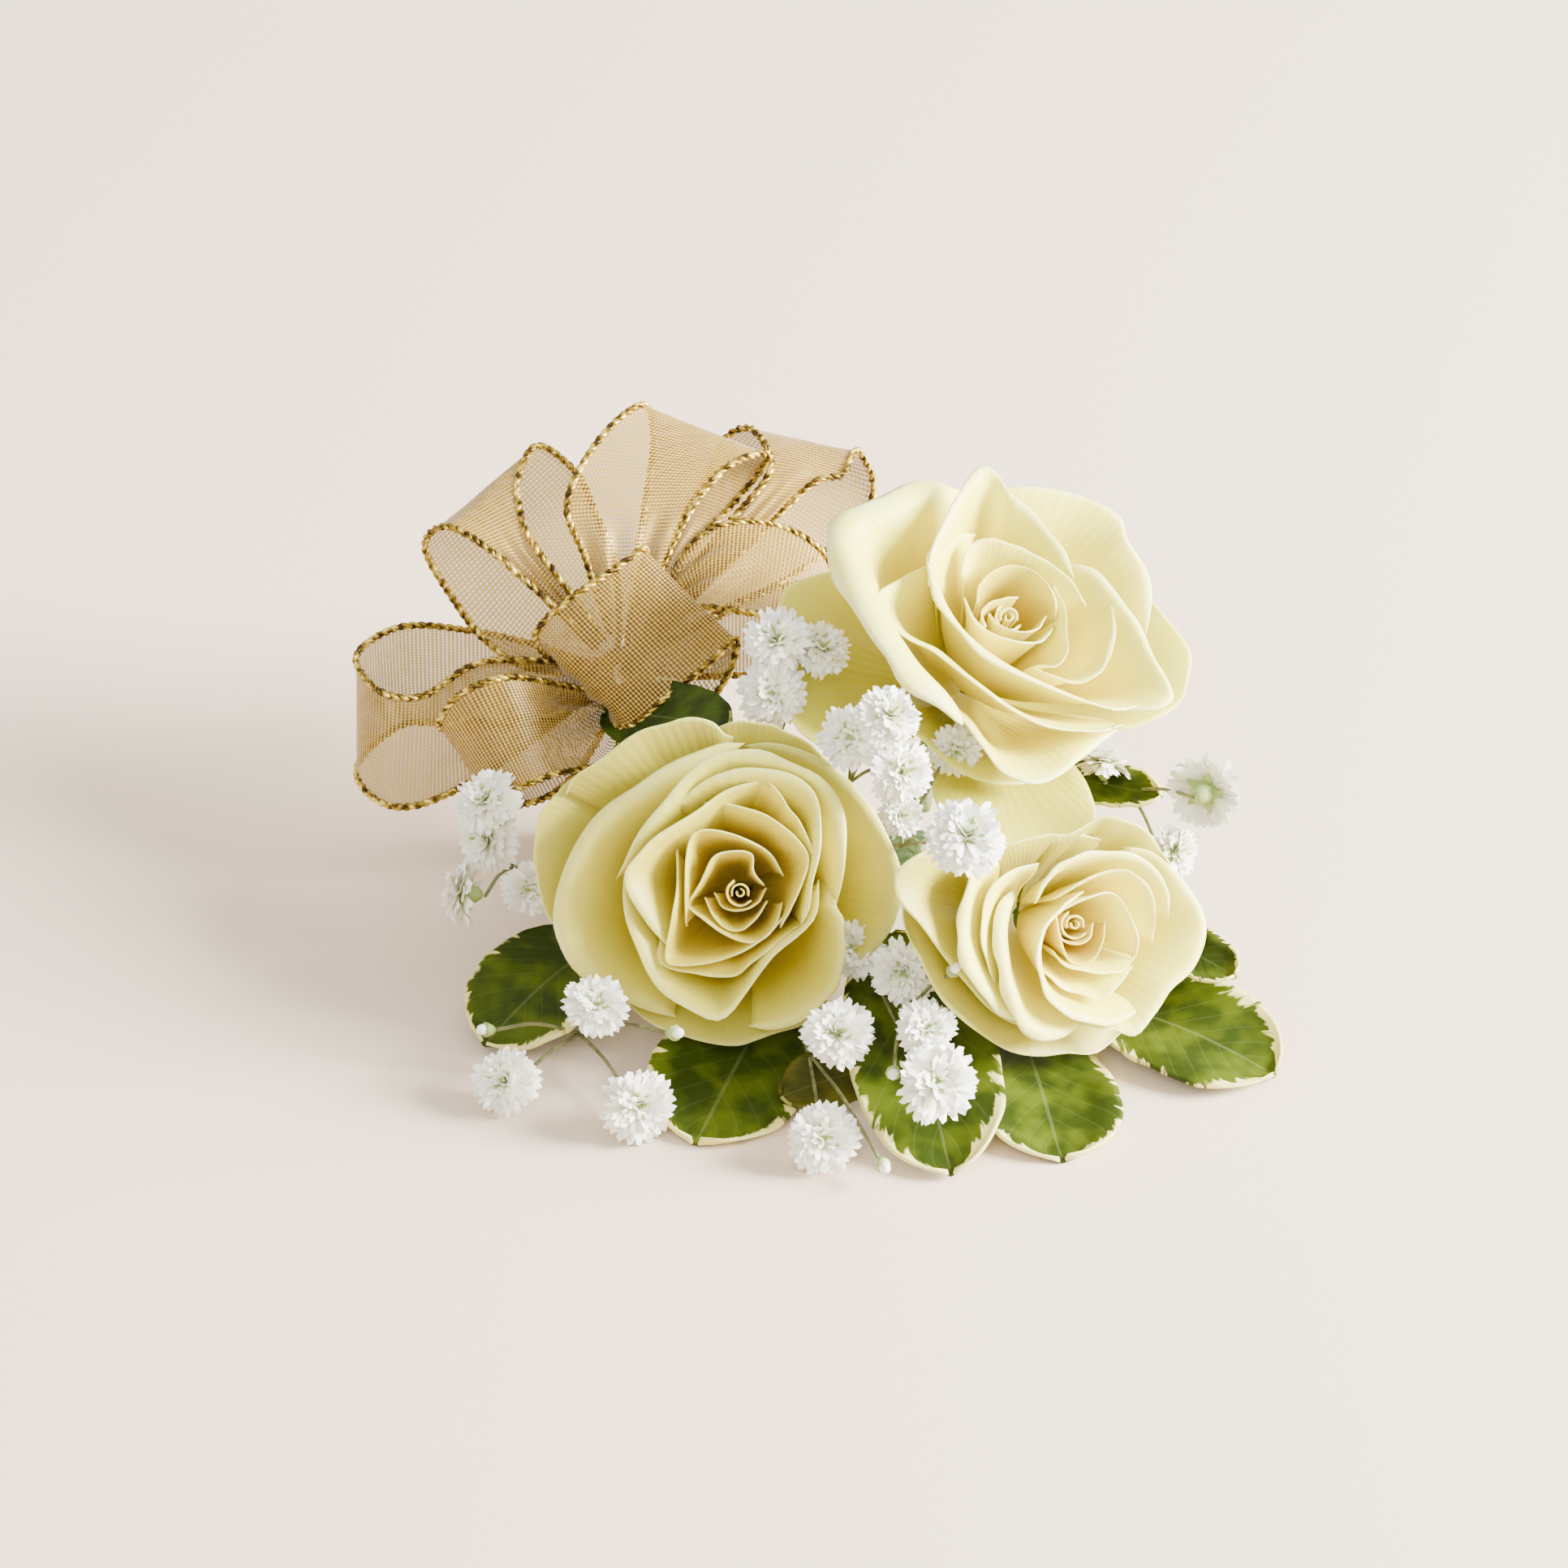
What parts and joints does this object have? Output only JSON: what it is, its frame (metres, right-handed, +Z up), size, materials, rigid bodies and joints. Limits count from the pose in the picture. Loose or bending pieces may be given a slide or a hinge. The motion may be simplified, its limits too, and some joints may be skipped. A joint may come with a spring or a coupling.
{
  "type": "rose corsage",
  "caption": "Flower corsage of cream spray roses, double baby's breath and variegated leaves, taped together under a sheer gold-edged ribbon bow.",
  "frame": {"origin": "on the surface the corsage lies on, at the middle of the taped stems' flat underside", "axes": "+Z up, -Y towards the viewer of the roses' faces, +X to the viewer's right"},
  "size_m": [0.1143, 0.1052, 0.0566],
  "materials": {
    "petal": "soft waxy petal, cream with a green-gold base",
    "leaf": "waxy green leaf with an irregular cream margin",
    "stem": "green stem, smooth",
    "floret": "thin white petals with green calyxes",
    "ribbon": "sheer organza with metallic gold corded edges",
    "green_tape": "waxed crepe florist tape"
  },
  "bodies": {
    "root": {"stem_tape": "green_tape", "rose_a_heart": "petal", "rose_a_petal_1": "petal", "rose_a_petal_2": "petal", "rose_a_petal_3": "petal", "rose_a_petal_4": "petal", "rose_a_petal_5": "petal", "rose_a_petal_6": "petal", "rose_a_petal_7": "petal", "rose_a_petal_8": "petal", "rose_a_petal_9": "petal", "rose_a_petal_10": "petal", "rose_a_stem": "stem", "rose_b_heart": "petal", "rose_b_petal_1": "petal", "rose_b_petal_2": "petal", "rose_b_petal_3": "petal", "rose_b_petal_4": "petal", "rose_b_petal_5": "petal", "rose_b_petal_6": "petal", "rose_b_petal_7": "petal", "rose_b_petal_8": "petal", "rose_b_petal_9": "petal", "rose_b_petal_10": "petal", "rose_b_stem": "stem", "rose_c_heart": "petal", "rose_c_petal_1": "petal", "rose_c_petal_2": "petal", "rose_c_petal_3": "petal", "rose_c_petal_4": "petal", "rose_c_petal_5": "petal", "rose_c_petal_6": "petal", "rose_c_petal_7": "petal", "rose_c_petal_8": "petal", "rose_c_stem": "stem", "loop_left": "ribbon", "loop_upper_left": "ribbon", "loop_top": "ribbon", "loop_right_back": "ribbon", "loop_right": "ribbon", "loop_middle": "ribbon", "loop_lower_left": "ribbon", "bow_knot": "ribbon", "leaf_left": "leaf", "leaf_front": "leaf", "leaf_olive": "leaf", "leaf_front_right": "leaf", "leaf_under_rose": "leaf", "leaf_right": "leaf", "leaf_right_small": "leaf", "leaf_behind_rose": "leaf", "leaf_middle": "leaf", "breath_top": "floret", "breath_middle": "floret", "breath_right": "floret", "breath_left": "floret", "breath_front_left": "floret", "breath_front_middle": "floret", "breath_front_right": "floret", "breath_behind": "floret"}
  },
  "joints": []
}
